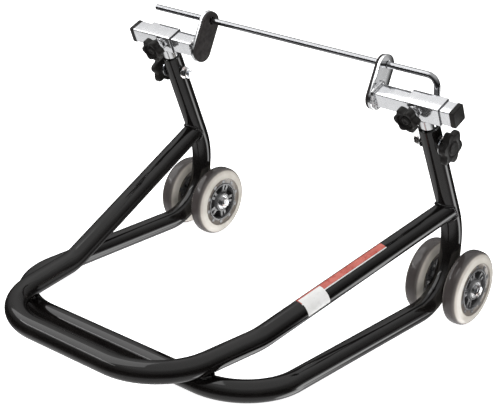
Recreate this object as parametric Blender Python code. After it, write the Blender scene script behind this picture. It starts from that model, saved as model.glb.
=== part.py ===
"""Paddock stand for the rear wheel of a motorcycle.

Two bent steel tubes make the frame: a base loop that lies on the floor and turns up into the two
uprights, and a handle loop welded over it.  Two roller wheels stand on each side on one axle bolt.
A round mast rises out of each upright, held by a star knob, and carries a square sleeve.  A square
arm slides through each sleeve and ends in a receiver plate with a rubber pad.  A bent rod passes
through both receiver plates.

Axes: +X to the right, +Y to the rear (the wheel end), +Z up.  The floor is z = 0, the stand is
symmetric about x = 0 except for how far each arm is pulled out, and the origin is on the floor below
the middle of the stand.  Lengths below are in millimetres.
"""
from math import atan2, cos, pi, radians, sin

import bmesh
import bpy
from mathutils import Matrix, Vector

MM = 0.001
GAP = 0.3                # space kept between pieces that touch

# ---- driving dimensions -------------------------------------------------------------------------
AXLE_Y = 218.6           # the wheels' axle line behind the origin
WHEEL_R = 50.0
WHEEL_WIDTH = 24.0
WHEEL_SPACING = 57.0     # between the two wheels of one side, centre to centre
AXLE_X = 215.5           # middle of each pair of wheels

TUBE_R = 13.6            # frame tube, 27.2 mm outside
TUBE_WALL = 2.3
TUBE_SIDES = 16

# base loop: centreline corners on the right-hand side, y measured from the axle line
BASE_FRONT = (213.4, -402.0, TUBE_R)
BASE_REAR = (216.5, -5.2, 29.1)
UPRIGHT_KINK = (214.9, -7.8, 129.4)
UPRIGHT_TOP = (211.3, -88.8, 277.5)
BASE_FRONT_BENDS = (80.0, 102.0)    # right and left: the left front corner is a little rounder
BASE_REAR_BEND = 68.0
UPRIGHT_BEND = 100.0

# handle loop: centreline corners on the right-hand side
HANDLE_TOP = (216.0, -24.4, 157.0)
HANDLE_BEND = (156.6, -322.1, 48.9)
HANDLE_FRONT = (135.9, -473.5, 34.5)
HANDLE_MIDDLE_BEND_R = 90.0
HANDLE_FRONT_BEND_R = 86.0

# masts and clamp bolts, heights h are along the upright's axis from its rim
MAST_R = 10.7
MAST_WALL = 2.0
MAST_BOTTOM = -67.0
CLAMP_H = -27.0
MAST_UP = 20.0           # how far a mast slides up and down from where it stands
MAST_DOWN = 10.0
BOLT_R = 3.85            # M8
HOLE_R = 4.4

# sleeves and arms
SLEEVE_H = 29.3          # sleeve's centre above the upright's rim
SLEEVE_HALF = 12.8
SLEEVE_BORE = 11.0
SLEEVE_INNER_X = 190.5
SLEEVE_OUTER_X = 239.0
SLEEVE_TILT = 26.6       # the sleeve leans forward with the upright, in degrees
ARM_HALF = 10.6
ARM_WALL = 1.6
ARM_LENGTH = 116.5       # from the receiver plate to the outside of the end cap
ARM_CAP = 6.5
ARM_CAP_HALF = 11.2
RIGHT_PLATE_X = 143.3    # outer face of each receiver plate from the middle
LEFT_PLATE_X = 150.0
SLEEVE_KNOB_X = {"right": 204.0, "left": 210.0}

# receiver plates
ROD_YZ = (-88.0, 339.0)
ROD_R = 4.0
PLATE_R = 16.5
PLATE_SPAN = 38.0
PLATE_DROP = 3.9         # from the rod's hole down to the centre of the plate's top round end
PLATE_LEAN = 20.0        # the plates' tops lean to the rear, in degrees
PLATE_T = 4.5
PAD_T = 3.5
ROD_TIP_X = -243.5
ROD_LEG_X = 214.9
ROD_LEG = 40.0
ROD_LEG_LEAN = 10.0
ROD_BEND_R = 13.0

SIDES = (("right", 1), ("left", -1))
PLATE_X = {"right": RIGHT_PLATE_X, "left": LEFT_PLATE_X}


# ---- materials ----------------------------------------------------------------------------------
def material(name, colour, roughness, metallic=0.0):
    """A Principled material with one colour."""
    mat = bpy.data.materials.new(name)
    mat.use_nodes = True
    shader = mat.node_tree.nodes["Principled BSDF"]
    shader.inputs["Base Color"].default_value = (*colour, 1.0)
    shader.inputs["Roughness"].default_value = roughness
    shader.inputs["Metallic"].default_value = metallic
    return mat


LOOKS = {
    "gloss_black": ((0.012, 0.012, 0.013), 0.12, 0.0),
    "chrome": ((0.82, 0.83, 0.85), 0.08, 1.0),
    "zinc": ((0.66, 0.68, 0.70), 0.28, 1.0),
    "knob_plastic": ((0.018, 0.018, 0.019), 0.42, 0.0),
    "pad_rubber": ((0.022, 0.020, 0.020), 0.62, 0.0),
    "wheel_urethane": ((0.62, 0.58, 0.54), 0.15, 0.0),
    "core_plastic": ((0.10, 0.10, 0.105), 0.35, 0.0),
    "bearing_steel": ((0.55, 0.55, 0.56), 0.25, 1.0),
}


# ---- mesh helpers -------------------------------------------------------------------------------
def place(name, bm, look, matrix=None, sharp=35.0):
    """Turn a bmesh in millimetres into a named object, placed by its matrix, with its own material."""
    bmesh.ops.recalc_face_normals(bm, faces=bm.faces)
    bmesh.ops.scale(bm, vec=(MM, MM, MM), verts=bm.verts)
    mesh = bpy.data.meshes.new(name)
    bm.to_mesh(mesh)
    bm.free()
    mesh.shade_smooth()
    mesh.set_sharp_from_angle(angle=radians(sharp))
    obj = bpy.data.objects.new(name, mesh)
    bpy.context.scene.collection.objects.link(obj)
    if matrix is not None:
        place_matrix = matrix.copy()
        place_matrix.translation = place_matrix.translation * MM
        obj.matrix_world = place_matrix
    if look is not None:
        mesh.materials.append(material(name + "_" + look, *LOOKS[look]))
    return obj


def cutter(name, bm, matrix=None):
    """A shape that only cuts others."""
    obj = place(name, bm, None, matrix)
    obj.hide_render = True
    obj.display_type = "WIRE"
    return obj


def cut(obj, tool):
    """Take the tool's shape out of the object."""
    modifier = obj.modifiers.new("cut_" + tool.name, "BOOLEAN")
    modifier.operation = "DIFFERENCE"
    modifier.solver = "EXACT"
    modifier.object = tool


def bridge(bm, first, second):
    """Join two rings of vertices by quads, or a ring and a single vertex by triangles."""
    if len(first) == 1 and len(second) == 1:
        return
    count = max(len(first), len(second))
    for i in range(count):
        j = (i + 1) % count
        corners = [first[i % len(first)], first[j % len(first)], second[j % len(second)], second[i % len(second)]]
        unique = list(dict.fromkeys(corners))
        bm.faces.new(unique)


def skin(rings, closed):
    """A bmesh skinned over rings of points; closed joins the last ring to the first."""
    bm = bmesh.new()
    rows = [[bm.verts.new(point) for point in ring] for ring in rings]
    for first, second in zip(rows, rows[1:]):
        bridge(bm, first, second)
    if closed:
        bridge(bm, rows[-1], rows[0])
    else:
        for row in (rows[0], rows[-1]):
            if len(row) > 2:
                bm.faces.new(row)
    return bm


def turned(profile, segments, closed=False):
    """A body of revolution about local Z from (height, radius) pairs; closed makes a ring section."""
    rings = []
    for height, radius in profile:
        if radius < 1e-6:
            rings.append([Vector((0.0, 0.0, height))])
            continue
        ring = []
        for i in range(segments):
            turn = 2 * pi * i / segments
            ring.append(Vector((radius * cos(turn), radius * sin(turn), height)))
        rings.append(ring)
    return skin(rings, closed)


def disc(radius, low, high, segments):
    """A plain round bar between two heights."""
    return turned([(low, radius), (high, radius)], segments)


def tube(radius, bore, low, high, segments):
    """A straight pipe between two heights."""
    return turned([(low, radius), (high, radius), (high, bore), (low, bore)], segments, closed=True)


def filleted(corners, bend_radii, step=14.0):
    """Points along straight runs joined by arcs; one bend radius for each inner corner."""
    points = [Vector(corners[0])]
    for before, corner, after, radius in zip(corners, corners[1:], corners[2:], bend_radii):
        corner = Vector(corner)
        back = (Vector(before) - corner).normalized()
        ahead = (Vector(after) - corner).normalized()
        turn = pi - back.angle(ahead)
        reach = radius / cos(turn / 2) * sin(turn / 2)
        start = corner + back * reach
        normal = (ahead - back * ahead.dot(back)).normalized()
        centre = start + normal * radius
        steps = max(2, round(turn / radians(step)))
        for i in range(steps + 1):
            angle = turn * i / steps
            points.append(centre - normal * radius * cos(angle) - back * radius * sin(angle))
    points.append(Vector(corners[-1]))
    return points


def swept(points, radius, bore, sides):
    """A round tube along the points, hollow when it has a bore."""
    rings = []
    inner = []
    normal = None
    for i, point in enumerate(points):
        before = points[max(i - 1, 0)]
        after = points[min(i + 1, len(points) - 1)]
        if 0 < i < len(points) - 1:
            along = ((point - before).normalized() + (after - point).normalized()).normalized()
        else:
            along = (after - before).normalized()
        if normal is None:
            normal = Vector((0.0, 0.0, 1.0)) if abs(along.x) > 0.9 else Vector((1.0, 0.0, 0.0))
        normal = (normal - along * normal.dot(along)).normalized()
        side = along.cross(normal)
        spokes = [normal * cos(2 * pi * k / sides) + side * sin(2 * pi * k / sides) for k in range(sides)]
        rings.append([point + spoke * radius for spoke in spokes])
        if bore:
            inner.append([point + spoke * bore for spoke in spokes])
    if bore:
        return skin(rings + inner[::-1], closed=True)
    return skin(rings, closed=False)


def rounded_square(half, corner, steps=2):
    """A square outline with round corners in local XY."""
    outline = []
    for quarter in range(4):
        centre_turn = radians(45 + 90 * quarter)
        centre = Vector((cos(centre_turn), sin(centre_turn))) * (half - corner) * 2 ** 0.5
        for i in range(steps + 1):
            turn = radians(90 * quarter + 90 * i / steps)
            outline.append(centre + Vector((cos(turn), sin(turn))) * corner)
    return outline


def stadium(radius, span, steps=8):
    """A stadium outline in local XY: its first round end on the origin, its other end at -Y."""
    outline = []
    for i in range(steps + 1):
        turn = pi * i / steps
        outline.append(Vector((radius * cos(turn), radius * sin(turn))))
    for i in range(steps + 1):
        turn = pi + pi * i / steps
        outline.append(Vector((radius * cos(turn), radius * sin(turn) - span)))
    return outline


def at_height(outline, height, shrink=0.0):
    """The outline's points at a height, drawn in a little towards its middle."""
    middle = sum(outline, Vector((0.0, 0.0))) / len(outline)
    ring = []
    for point in outline:
        inward = (middle - point).normalized() * shrink
        ring.append(Vector((point.x + inward.x, point.y + inward.y, height)))
    return ring


def star(levels, lobes=6, per_lobe=4):
    """A lobed knob about local Z from (height, radius, lobe depth) levels."""
    count = lobes * per_lobe
    rings = []
    for height, radius, depth in levels:
        if radius < 1e-6:
            rings.append([Vector((0.0, 0.0, height))])
            continue
        ring = []
        for i in range(count):
            turn = 2 * pi * i / count
            reach = radius + depth * cos(lobes * turn)
            ring.append(Vector((reach * cos(turn), reach * sin(turn), height)))
        rings.append(ring)
    return skin(rings, closed=False)


# ---- places -------------------------------------------------------------------------------------
def from_axle(x, y, z):
    """A point given from the axle line, in the stand's own axes."""
    return Vector((x, y + AXLE_Y, z))


def mirrored(point, side):
    return Vector((point[0] * side, point[1] + AXLE_Y, point[2]))


def basis(origin, x_axis, y_axis, z_axis):
    """A placing matrix from an origin and three perpendicular directions."""
    rotation = Matrix((x_axis, y_axis, z_axis)).transposed().to_4x4()
    return Matrix.Translation(origin) @ rotation


def along_x(x, y, z, side=1):
    """Local Z along the stand's X, outward on the given side, and local Y up."""
    direction = Vector((side, 0.0, 0.0))
    up = Vector((0.0, 0.0, 1.0))
    return basis(Vector((x, y, z)), up.cross(direction), up, direction)


def upright_axis(side):
    """Rim point and upward direction of one upright."""
    top = mirrored(UPRIGHT_TOP, side)
    kink = mirrored(UPRIGHT_KINK, side)
    return top, (top - kink).normalized()


def mast_matrix(side, height=0.0):
    """Local Z up the mast, local X close to the stand's X."""
    top, up = upright_axis(side)
    x_axis = (Vector((1.0, 0.0, 0.0)) - up * up.x).normalized()
    return basis(top + up * height, x_axis, up.cross(x_axis), up)


def clamp_point(side):
    top, up = upright_axis(side)
    return top + up * CLAMP_H


def sleeve_centre(side):
    """Centre line of the square sleeve: a point on it and its front and top directions."""
    top, up = upright_axis(side)
    point = top + up * SLEEVE_H
    tilt = radians(SLEEVE_TILT)
    front = Vector((0.0, -cos(tilt), -sin(tilt)))
    crown = Vector((0.0, -sin(tilt), cos(tilt)))
    return point, front, crown


def square_matrix(side, x):
    """Local Z along X outward, local X to the front and local Y to the top of the square section."""
    point, front, crown = sleeve_centre(side)
    outward = Vector((side, 0.0, 0.0))
    return basis(Vector((x * side, point.y, point.z)), crown.cross(outward), crown, outward)


def plate_matrix(side, x):
    """Local Z outward along X, local Y up the plate, origin on the rod's axis."""
    lean = radians(PLATE_LEAN)
    crown = Vector((0.0, sin(lean), cos(lean)))
    outward = Vector((side, 0.0, 0.0))
    centre = from_axle(x * side, *ROD_YZ)
    return basis(centre, crown.cross(outward), crown, outward)


# ---- frame --------------------------------------------------------------------------------------
def base_centreline():
    corners = [UPRIGHT_TOP, UPRIGHT_KINK, BASE_REAR, BASE_FRONT]
    left = [mirrored(corner, -1) for corner in corners]
    right = [mirrored(corner, 1) for corner in reversed(corners)]
    bend_right, bend_left = BASE_FRONT_BENDS
    bends = [UPRIGHT_BEND, BASE_REAR_BEND, bend_left, bend_right, BASE_REAR_BEND, UPRIGHT_BEND]
    return filleted(left + right, bends)


def rear_bend(side):
    """The base tube's centreline round the wheels on one side."""
    corners = [mirrored(corner, side) for corner in (UPRIGHT_TOP, UPRIGHT_KINK, BASE_REAR, BASE_FRONT)]
    return filleted(corners, [UPRIGHT_BEND, BASE_REAR_BEND])


def make_frame():
    bore = TUBE_R - TUBE_WALL
    base = place("base_loop", swept(base_centreline(), TUBE_R, bore, TUBE_SIDES), "gloss_black")
    corners = [HANDLE_TOP, HANDLE_BEND, HANDLE_FRONT]
    left = [mirrored(corner, -1) for corner in corners]
    right = [mirrored(corner, 1) for corner in reversed(corners)]
    bends = [HANDLE_MIDDLE_BEND_R, HANDLE_FRONT_BEND_R]
    points = filleted(left + right, bends + bends[::-1])
    handle = place("handle_loop", swept(points, TUBE_R, bore, TUBE_SIDES), "gloss_black")
    for name, side in SIDES:
        seat = cutter("seat_" + name, swept(rear_bend(side), TUBE_R + GAP, 0, TUBE_SIDES))
        cut(handle, seat)
        hole = cutter("clamp_hole_" + name, disc(HOLE_R, -30, 30, 12), along_x(*clamp_point(side)))
        cut(base, hole)
        boss_half = TUBE_R + 0.6
        boss = place("axle_boss_" + name, tube(7.5, HOLE_R, -boss_half, boss_half, 16), "gloss_black",
                     along_x(AXLE_X * side, AXLE_Y, WHEEL_R))
        cut(boss, seat)


# ---- wheels -------------------------------------------------------------------------------------
CORE_R = 28.0
BEARING_R = 11.0
BEARING_W = 7.0


def tyre():
    """Round-crowned urethane tyre."""
    half = WHEEL_WIDTH / 2
    crown = [(half - 0.5, CORE_R + GAP), (half, 38.0), (10.6, 44.2), (7.0, 48.3)]
    other = [(-height, radius) for height, radius in reversed(crown)]
    return turned(crown + [(0.0, WHEEL_R)] + other, 32, closed=True)


def core():
    """Spoked plastic core: rim, thin web, hub with a bearing seat on each side."""
    half = WHEEL_WIDTH / 2
    seat = BEARING_R + 0.15
    ledge = half - BEARING_W
    outside = [(half, seat), (half, 13.6), (half - 4.0, 14.2), (half - 4.0, 25.2), (half - 1.0, CORE_R)]
    mirrored_side = [(-height, radius) for height, radius in reversed(outside)]
    inside = [(-ledge, seat), (-ledge, 9.4), (ledge, 9.4), (ledge, seat)]
    return turned(outside + mirrored_side + inside, 30, closed=True)


def sector(inner, outer, half_inner, half_outer, deep):
    """A fan-shaped cutter centred on local +X, from half-widths in degrees at each radius."""
    outline = []
    for radius, half in ((inner, -half_inner), (inner, half_inner), (outer, half_outer), (outer, -half_outer)):
        turn = radians(half)
        outline.append((radius * cos(turn), radius * sin(turn)))
    return skin([[Vector((x, y, -deep)) for x, y in outline], [Vector((x, y, deep)) for x, y in outline]], False)


def core_windows(name, matrix):
    """Five wide windows and, between them, five narrow slots that leave paired thin spokes."""
    windows = bmesh.new()
    for i in range(5):
        for inner, outer, half_inner, half_outer, offset in ((14.9, 24.9, 13, 21, 0), (17.0, 24.6, 3.4, 4.6, 36)):
            piece = sector(inner, outer, half_inner, half_outer, WHEEL_WIDTH)
            bmesh.ops.rotate(piece, cent=(0, 0, 0), matrix=Matrix.Rotation(radians(72 * i + offset), 3, "Z"), verts=piece.verts)
            mesh = bpy.data.meshes.new("window")
            piece.to_mesh(mesh)
            piece.free()
            windows.from_mesh(mesh)
            bpy.data.meshes.remove(mesh)
    return cutter(name, windows, matrix)


def bearing():
    """Shielded ball bearing."""
    return tube(BEARING_R - GAP / 2, 4.15, -BEARING_W / 2, BEARING_W / 2, 16)


def hexagon(across_flats, low, high, bore=0.0, chamfer=0.8):
    """A hexagon nut or head about local Z with chamfered outer corners."""
    corner = across_flats / 2 / cos(radians(30))
    outline = [Vector((corner * cos(radians(60 * i)), corner * sin(radians(60 * i)))) for i in range(6)]
    rings = [at_height(outline, low), at_height(outline, high - chamfer), at_height(outline, high, chamfer)]
    if not bore:
        return skin(rings, closed=False)
    hole = [Vector((bore * cos(radians(60 * i)), bore * sin(radians(60 * i)))) / cos(radians(30)) for i in range(6)]
    return skin(rings + [at_height(hole, high), at_height(hole, low)], closed=True)


def flange_nut(low):
    """An M8 nut with a round flange below it, standing on local height low."""
    corner = 6.5 / cos(radians(30))
    turns = [radians(30 * i) for i in range(12)]
    flange = [Vector((8.5 * cos(turn), 8.5 * sin(turn))) for turn in turns]
    flats = [Vector((cos(turn), sin(turn))) * (corner if i % 2 == 0 else 6.5) for i, turn in enumerate(turns)]
    hole = [Vector((4.15 * cos(turn), 4.15 * sin(turn))) for turn in turns]
    rings = [at_height(flange, low), at_height(flange, low + 1.4), at_height(flats, low + 2.0)]
    rings += [at_height(flats, low + 8.2), at_height(flats, low + 9.0, 0.8), at_height(hole, low + 9.0)]
    return skin(rings + [at_height(hole, low)], closed=True)


def headed_bolt(head_at, head_height, shank_end, across_flats):
    """A hexagon-headed bolt along local Z: shank from below, head on top."""
    corner = across_flats / 2 / cos(radians(30))
    head = [Vector((corner * cos(radians(30 * i)), corner * sin(radians(30 * i)))) for i in range(12)]
    for i in range(1, 12, 2):
        head[i] = head[i] * cos(radians(30))
    shank = [Vector((BOLT_R * cos(radians(30 * i)), BOLT_R * sin(radians(30 * i)))) for i in range(12)]
    rings = [at_height(shank, shank_end, 0.8), at_height(shank, shank_end + 1.0), at_height(shank, head_at)]
    rings += [at_height(head, head_at), at_height(head, head_at + head_height - 0.9)]
    rings.append(at_height(head, head_at + head_height, 1.0))
    return skin(rings, closed=False)


def make_wheels():
    for name, side in SIDES:
        for where, offset in (("outer", WHEEL_SPACING / 2), ("inner", -WHEEL_SPACING / 2)):
            label = "wheel_" + name + "_" + where
            matrix = along_x((AXLE_X + offset) * side, AXLE_Y, WHEEL_R, side)
            place(label + "_tyre", tyre(), "wheel_urethane", matrix)
            hub = place(label + "_core", core(), "core_plastic", matrix)
            cut(hub, core_windows(label + "_windows", matrix))
            middle = (WHEEL_WIDTH - BEARING_W) / 2
            for end, shift in (("a", middle), ("b", -middle)):
                seat = along_x((AXLE_X + offset) * side + shift, AXLE_Y, WHEEL_R, side)
                place(label + "_bearing_" + end, bearing(), "bearing_steel", seat)
            sleeve = tube(5.9, 4.15, -middle + BEARING_W / 2 + GAP, middle - BEARING_W / 2 - GAP, 16)
            place(label + "_hub_sleeve", sleeve, "zinc", matrix)
            gap_low = TUBE_R + 0.9
            gap_high = (WHEEL_SPACING - WHEEL_WIDTH) / 2 - GAP
            toward = side if where == "outer" else -side
            spacer = tube(6.6, HOLE_R, gap_low, gap_high, 16)
            place("axle_spacer_" + name + "_" + where, spacer, "zinc",
                  along_x(AXLE_X * side, AXLE_Y, WHEEL_R, toward))
        reach = (WHEEL_SPACING + WHEEL_WIDTH) / 2 + GAP
        centre = along_x(AXLE_X * side, AXLE_Y, WHEEL_R, side)
        place("axle_bolt_" + name, headed_bolt(reach, 5.3, -reach - 7.0, 13.0), "zinc", centre)
        nut = hexagon(13.0, reach, reach + 6.4, bore=4.15)
        place("axle_nut_" + name, nut, "zinc", along_x(AXLE_X * side, AXLE_Y, WHEEL_R, -side))


# ---- masts, sleeves and their knobs --------------------------------------------------------------
def clamp_knob():
    """Large star knob: hub, six lobes, shallow raised disc on the face; its back is at height 0."""
    return star([(9.0, 0, 0), (9.0, 4.15, 0), (0, 4.15, 0), (0, 10.0, 0), (3.6, 10.6, 0), (4.2, 18.0, 2.2),
                 (5.4, 20.0, 2.65), (12.0, 20.0, 2.65), (13.6, 18.2, 2.1), (13.8, 8.6, 0), (14.6, 7.8, 0), (14.6, 0, 0)])


def sleeve_knob():
    """Small star knob with a hollow face and a raised boss in the middle of the hollow."""
    return star([(8.0, 0, 0), (8.0, 4.15, 0), (0, 4.15, 0), (0, 7.5, 0), (1.6, 8.0, 0), (2.8, 15.2, 2.0),
                 (11.0, 15.2, 2.0), (13.2, 13.6, 1.5), (13.2, 11.4, 0), (9.2, 10.6, 0), (9.2, 6.2, 0),
                 (12.2, 5.2, 0), (12.2, 0, 0)])


def make_masts():
    for name, side in SIDES:
        mast = place("mast_" + name, tube(MAST_R, MAST_R - MAST_WALL, MAST_BOTTOM, SLEEVE_H - SLEEVE_HALF - 1.0, 16),
                     "chrome", mast_matrix(side))
        slot_low = CLAMP_H - MAST_UP
        slot_high = CLAMP_H + MAST_DOWN
        top, up = upright_axis(side)
        slot_outline = []
        for i in range(12):
            turn = radians(30 * i + 15)
            end = slot_high if sin(turn) > 0 else slot_low
            slot_outline.append((HOLE_R * cos(turn), HOLE_R * sin(turn) + end))
        frame = mast_matrix(side)
        across = basis(top, frame.col[1].to_3d(), frame.col[2].to_3d(), frame.col[0].to_3d())
        slot = skin([[Vector((x, y, deep)) for x, y in slot_outline] for deep in (-20.0, 20.0)], False)
        cut(mast, cutter("mast_slot_" + name, slot, across))

        centre, front, crown = sleeve_centre(side)
        length = SLEEVE_OUTER_X - SLEEVE_INNER_X
        outer = rounded_square(SLEEVE_HALF, 2.0)
        inner = rounded_square(SLEEVE_BORE, 0.8)
        rings = [at_height(outer, 0), at_height(outer, length), at_height(inner, length), at_height(inner, 0)]
        sleeve = place("sleeve_" + name, skin(rings, closed=True), "chrome", square_matrix(side, SLEEVE_INNER_X))
        knob_origin = Vector((SLEEVE_KNOB_X[name] * side, centre.y, centre.z))
        screw_matrix = basis(knob_origin, crown.cross(front), crown, front)
        cut(sleeve, cutter("sleeve_hole_" + name, disc(HOLE_R, 5.0, 20.0, 12), screw_matrix))
        nut = hexagon(13.0, SLEEVE_HALF + GAP, SLEEVE_HALF + 6.8, bore=4.15)
        place("sleeve_nut_" + name, nut, "chrome", screw_matrix)
        knob_back = SLEEVE_HALF + 8.0
        screw = turned([(ARM_HALF + GAP, 3.0), (ARM_HALF + 1.2, BOLT_R), (knob_back + 7.6, BOLT_R)], 12)
        place("sleeve_screw_" + name, screw, "zinc", screw_matrix)
        knob_matrix = screw_matrix @ Matrix.Translation((0, 0, knob_back))
        place("sleeve_knob_" + name, sleeve_knob(), "knob_plastic", knob_matrix, sharp=50)

        across = along_x(*clamp_point(side), side)
        washer_low = TUBE_R + 0.5
        place("clamp_washer_" + name, tube(12.0, HOLE_R, washer_low, washer_low + 2.0, 16), "zinc", across)
        knob_back = washer_low + 2.3
        knob = place("clamp_knob_" + name, clamp_knob(), "knob_plastic", across @ Matrix.Translation((0, 0, knob_back)), sharp=50)
        bolt = turned([(-TUBE_R - 12.8, 3.0), (-TUBE_R - 11.8, BOLT_R), (knob_back + 8.6, BOLT_R)], 12)
        place("clamp_bolt_" + name, bolt, "zinc", across)
        nut = flange_nut(TUBE_R + 0.5)
        place("clamp_nut_" + name, nut, "zinc", along_x(*clamp_point(side), -side))


# ---- arms, receivers and rod ---------------------------------------------------------------------
def pierced_stadium(radius, span, thickness, bevel, hole_name, hole_radius, matrix, name, look):
    """A stadium plate with a hole near its first round end; local Y 0 is the hole's centre."""
    outline = [p - Vector((0.0, PLATE_DROP)) for p in stadium(radius, span)]
    rings = [at_height(outline, 0, bevel), at_height(outline, bevel), at_height(outline, thickness - bevel),
             at_height(outline, thickness, bevel)]
    plate = place(name, skin(rings, closed=False), look, matrix)
    cut(plate, cutter(hole_name, disc(hole_radius, -2, thickness + 2, 16), matrix))
    return plate


def make_arms():
    for name, side in SIDES:
        plate_x = PLATE_X[name]
        outer = rounded_square(ARM_HALF, 1.6)
        inner = rounded_square(ARM_HALF - ARM_WALL, 0.8)
        length = ARM_LENGTH - ARM_CAP
        rings = [at_height(outer, GAP), at_height(outer, length - GAP), at_height(inner, length - GAP), at_height(inner, GAP)]
        arm_frame = square_matrix(side, plate_x)
        place("arm_" + name, skin(rings, closed=True), "chrome", arm_frame)
        plug = rounded_square(ARM_HALF - ARM_WALL - GAP, 0.8)
        head = rounded_square(ARM_CAP_HALF, 1.8)
        rings = [at_height(plug, length - 12.0), at_height(plug, length), at_height(head, length),
                 at_height(head, ARM_LENGTH - 1.0), at_height(head, ARM_LENGTH, 1.2)]
        place("arm_cap_" + name, skin(rings, closed=False), "knob_plastic", arm_frame)
        pierced_stadium(PLATE_R, PLATE_SPAN, PLATE_T, 0.6, "plate_hole_" + name, 4.7,
                        plate_matrix(side, plate_x - PLATE_T), "receiver_plate_" + name, "chrome")
        pierced_stadium(PLATE_R - 0.6, PLATE_SPAN, PAD_T, 0.6, "pad_hole_" + name, 5.2,
                        plate_matrix(side, plate_x - PLATE_T - GAP - PAD_T), "receiver_pad_" + name, "pad_rubber")


def make_rod():
    y, z = ROD_YZ
    tip = from_axle(ROD_TIP_X, y, z)
    corner = from_axle(ROD_LEG_X, y, z)
    lean = radians(ROD_LEG_LEAN)
    foot = corner + Vector((0.0, sin(lean), -cos(lean))) * ROD_LEG
    points = filleted([tip, corner, foot], [ROD_BEND_R], step=15.0)
    place("axle_rod", swept(points, ROD_R, 0, 12), "chrome")


def make_all():
    for obj in list(bpy.data.objects):
        bpy.data.objects.remove(obj, do_unlink=True)
    make_frame()
    make_wheels()
    make_masts()
    make_arms()
    make_rod()


make_all()
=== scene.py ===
"""Looks for a motorcycle paddock stand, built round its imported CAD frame.

Every piece stands for one or more CAD nodes at their place and size, made finer: smooth tubes with
weld beads, moulded knobs, spoked wheels, chromed sleeves and arms.  Lengths are in millimetres from the
axle line (y = 0 at the wheels' axle) unless a name says otherwise; +X is the stand's right, +Y its rear.
"""

from math import cos, pi, radians, sin, sqrt, tan

import bmesh
import bpy
from mathutils import Matrix, Vector, noise
from mathutils.bvhtree import BVHTree


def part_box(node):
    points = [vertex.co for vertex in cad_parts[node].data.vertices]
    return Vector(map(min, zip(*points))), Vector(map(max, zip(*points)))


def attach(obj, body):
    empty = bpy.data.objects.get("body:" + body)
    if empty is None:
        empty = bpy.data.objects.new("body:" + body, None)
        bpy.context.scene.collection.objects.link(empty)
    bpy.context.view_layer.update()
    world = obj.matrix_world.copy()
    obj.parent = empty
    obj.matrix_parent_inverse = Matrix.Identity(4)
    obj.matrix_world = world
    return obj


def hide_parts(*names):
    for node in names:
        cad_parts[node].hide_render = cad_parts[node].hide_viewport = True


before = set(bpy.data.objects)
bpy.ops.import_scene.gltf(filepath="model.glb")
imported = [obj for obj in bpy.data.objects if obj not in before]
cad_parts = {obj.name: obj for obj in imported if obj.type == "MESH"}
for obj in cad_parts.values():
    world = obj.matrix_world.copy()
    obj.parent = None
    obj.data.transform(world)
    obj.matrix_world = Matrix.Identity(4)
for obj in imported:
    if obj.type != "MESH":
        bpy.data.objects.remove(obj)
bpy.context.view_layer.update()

MM = 0.001
SIDES = (("right", 1), ("left", -1))

# ---- driving dimensions, as in the CAD -----------------------------------------------------------
AXLE_Y = (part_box("axle_bolt_right")[0].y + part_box("axle_bolt_right")[1].y) / 2 / MM
AXLE_Z = 50.0
AXLE_X = 215.5
WHEEL_SPACING = 57.0
WHEEL_R = 50.0
WHEEL_WIDTH = 24.0
CORE_R = 28.0
BEARING_WIDTH = 7.0
BEARING_BORE = 4.1
BOSS_R = 7.5
BOSS_HALF = 14.2

TUBE_R = 13.6
TUBE_WALL = 2.3
BASE_FRONT = (213.4, -402.0, TUBE_R)
BASE_REAR = (216.5, -5.2, 29.1)
UPRIGHT_KINK = (214.9, -7.8, 129.4)
UPRIGHT_TOP = (211.3, -88.8, 277.5)
BASE_FRONT_BENDS = (80.0, 102.0)
BASE_REAR_BEND = 68.0
UPRIGHT_BEND = 100.0
HANDLE_TOP = (216.0, -24.4, 157.0)
HANDLE_BEND = (156.6, -322.1, 48.9)
HANDLE_FRONT = (135.9, -473.5, 34.5)
HANDLE_BENDS = (90.0, 86.0)

MAST_R = 10.7
MAST_WALL = 2.0
MAST_BOTTOM = -67.0
CLAMP_H = -27.0
MAST_UP = 20.0
MAST_DOWN = 10.0
BOLT_R = 3.85
HOLE_R = 4.4
HEX_HALF = 6.5
CHAMFER_SLOPE = 0.577
CLAMP_HEX_HALF = 7.4
CLAMP_WASHER_R = 12.0
CLAMP_FLANGE_R = 8.5

SLEEVE_H = 29.3
SLEEVE_HALF = 12.8
SLEEVE_BORE = 11.0
MAST_TOP = SLEEVE_H - SLEEVE_HALF - 0.6
SLEEVE_INNER_X = 190.5
SLEEVE_OUTER_X = 239.0
SLEEVE_TILT = 26.6
SLEEVE_KNOB_X = {"right": 204.0, "left": 210.0}
ARM_HALF = 10.6
ARM_WALL = 1.6
ARM_LENGTH = 116.5
ARM_CAP = 6.5
ARM_CAP_HALF = 11.2
PLATE_X = {"right": 143.3, "left": 150.0}

ROD_YZ = (-88.0, 339.0)
ROD_R = 4.0
ROD_TIP_X = -243.5
ROD_LEG_X = 214.9
ROD_LEG = 40.0
ROD_LEG_LEAN = 10.0
ROD_BEND_R = 13.0
PLATE_R = 16.5
PLATE_SPAN = 38.0
PLATE_DROP = 3.9
PLATE_LEAN = 20.0
PLATE_T = 4.5
PAD_T = 3.5
GAP = 0.3

# ---- camera and light ----------------------------------------------------------------------------
CAMERA_PLACE = (1047.0, -1487.2, 743.6)
CAMERA_AZIMUTH = 38.23
CAMERA_ELEVATION = 19.83
CAMERA_ROLL = 4.05
CAMERA_LENS = 100.0
FLOOR_HALF_M = 9.0
DOME_RADIUS_M = 8.8
WHITE = (1.0, 1.0, 1.0, 1.0)
# the world's grey by the height of a direction, from straight down at -1 to straight up at 1
WORLD_GREYS = [(-1.0, 0.76), (-0.70, 0.70), (-0.50, 0.10), (-0.30, 0.02), (0.0, 0.03), (0.2, 0.18), (0.5, 0.38),
               (0.74, 0.82), (1.0, 0.86)]
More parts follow.
